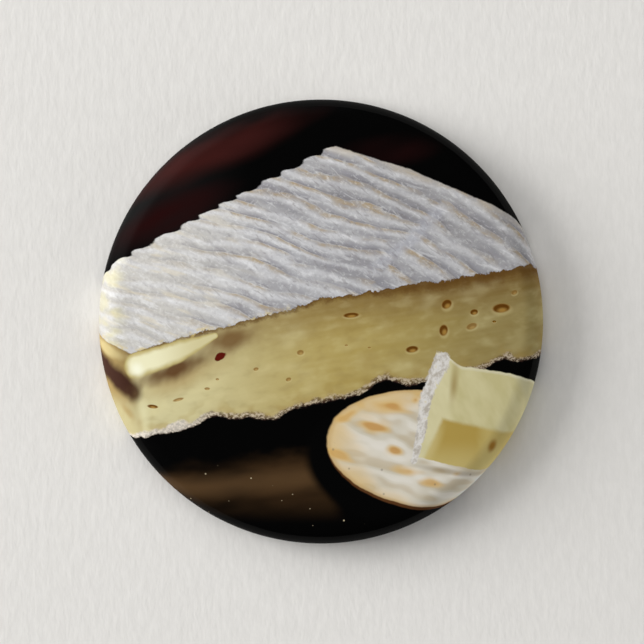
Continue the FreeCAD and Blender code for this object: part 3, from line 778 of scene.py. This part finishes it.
def metal_material(name, light, dark, smoothest, roughest, drawn):
    """Bright sheet or wire: rolling lines drawn out along X and a faint cloud of wear."""
    material, sheet = new_material(name)
    x, y, z = [axis * PER_METRE for axis in sheet.coordinates("Object")]
    lines = sheet.noise(sheet.point(x / drawn, y, z), 6.0, detail=4.0, rough=0.6)
    cloud = sheet.noise(sheet.point(x, y, z), 0.25, detail=3.0, rough=0.55)
    worn = sheet.noise(sheet.point(x, y, z + 9.0), 2.0, detail=4.0, rough=0.65)
    colour = sheet.blend(sheet.ramp(cloud, 0.3, 0.7), dark, light)
    colour = sheet.blend(sheet.ramp(worn, 0.58, 0.75) * 0.35, colour, dark)
    rough = sheet.ramp(lines * 0.6 + cloud * 0.4, 0.3, 0.7, smooth=False)
    sheet.surface(
        Base_Color=colour,
        Metallic=1.0,
        Roughness=rough * (roughest - smoothest) + smoothest,
        Normal=sheet.bump(lines, 0.00002, 0.5),
    )
    return material


# ---------------------------------------------------------------- stage


def floor_material():
    """Pale plaster card, with a fine combed texture."""
    material, sheet = new_material("pale_card")
    x, y, z = [axis * PER_METRE for axis in sheet.coordinates("Object")]
    combed = sheet.noise(sheet.point(x, y * 0.35, z), 1.1, rough=0.6)
    cloud = sheet.noise(sheet.point(x, y, z), 0.06)
    colour = sheet.blend(sheet.ramp(combed, 0.35, 0.7), ink(224, 222, 218), ink(228, 226, 222))
    colour = sheet.blend(cloud * 0.3, colour, ink(221, 218, 214))
    sheet.surface(
        Base_Color=colour,
        Roughness=0.9,
        Specular_IOR_Level=0.1,
        Normal=sheet.bump(combed, 0.00008, 0.5),
    )
    return material


def make_floor():
    """The card that the badge lies on."""
    corners = [(x * FLOOR_HALF, y * FLOOR_HALF, 0) for x, y in ((-1, -1), (1, -1), (1, 1), (-1, 1))]
    mesh = bpy.data.meshes.new("floor")
    mesh.from_pydata(corners, [], [(0, 1, 2, 3)])
    floor = bpy.data.objects.new("floor", mesh)
    bpy.context.scene.collection.objects.link(floor)
    floor.data.materials.append(floor_material())


def add_lamp(name, place, width, watts):
    """A square lamp that lights the badge and isn't mirrored in its gloss."""
    lamp = bpy.data.lights.new(name, "AREA")
    lamp.shape = "SQUARE"
    lamp.size = width
    lamp.energy = watts
    light = bpy.data.objects.new(name, lamp)
    bpy.context.scene.collection.objects.link(light)
    light.location = place
    towards = mathutils.Vector(LAMP_AIM) - mathutils.Vector(place)
    light.rotation_euler = towards.to_track_quat("-Z", "Y").to_euler()
    light.visible_glossy = False


def light_room():
    """A room that is bright on the left, dark overhead, and pale below where no card hides it."""
    world = bpy.data.worlds.new("room")
    bpy.context.scene.world = world
    world.use_nodes = True
    sheet = Sheet(world.node_tree)
    x, y, z = sheet.coordinates("Generated")
    left = x * BRIGHT_SIDE[0] + y * BRIGHT_SIDE[1]
    low = sheet.ramp(z, 0.93, 0.6)
    strength = low * (sheet.ramp(left, 0.3, 0.9) * ROOM_BRIGHT + ROOM_ROUND) + ROOM_ALL
    strength = strength + sheet.ramp(z, -0.1, -0.5) * ROOM_BELOW
    background = sheet.node("ShaderNodeBackground")
    output = sheet.node("ShaderNodeOutputWorld")
    background.inputs["Color"].default_value = ROOM_TINT
    sheet.feed(background.inputs["Strength"], strength)
    sheet.tree.links.new(background.outputs[0], output.inputs["Surface"])


def add_camera():
    """A long lens right above the badge."""
    lens = bpy.data.cameras.new("camera")
    lens.lens = LENS
    lens.sensor_width = SENSOR_WIDTH
    lens.clip_start = NEAREST_SEEN
    camera = bpy.data.objects.new("camera", lens)
    bpy.context.scene.collection.objects.link(camera)
    camera.location = (*CAMERA_SHIFT, CAMERA_HEIGHT)
    bpy.context.scene.camera = camera


# ---------------------------------------------------------------- the badge

outside = wrapped_profile(0.0, *OUTER_STEPS)
inside = wrapped_profile(WRAP, *INNER_STEPS)
badge = turned_piece("badge_face", outside, inside)
badge.data.materials.append(print_material())
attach(badge, "root")
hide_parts("clear_film", "print_paper")

tinplate = metal_material(
    "tinplate", light=(0.74, 0.74, 0.73, 1), dark=(0.62, 0.62, 0.61, 1),
    smoothest=0.2, roughest=0.38, drawn=40.0,
)
nickel = metal_material(
    "nickel_wire", light=(0.72, 0.70, 0.66, 1), dark=(0.6, 0.58, 0.54, 1),
    smoothest=0.12, roughest=0.26, drawn=20.0,
)
for node, material in (("shell", tinplate), ("back_plate", tinplate), ("pin", nickel)):
    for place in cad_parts[node].material_slots:
        place.material = material

make_floor()
for lamp in LAMPS:
    add_lamp(*lamp)
light_room()
add_camera()
bpy.context.scene.view_settings.view_transform = "Standard"
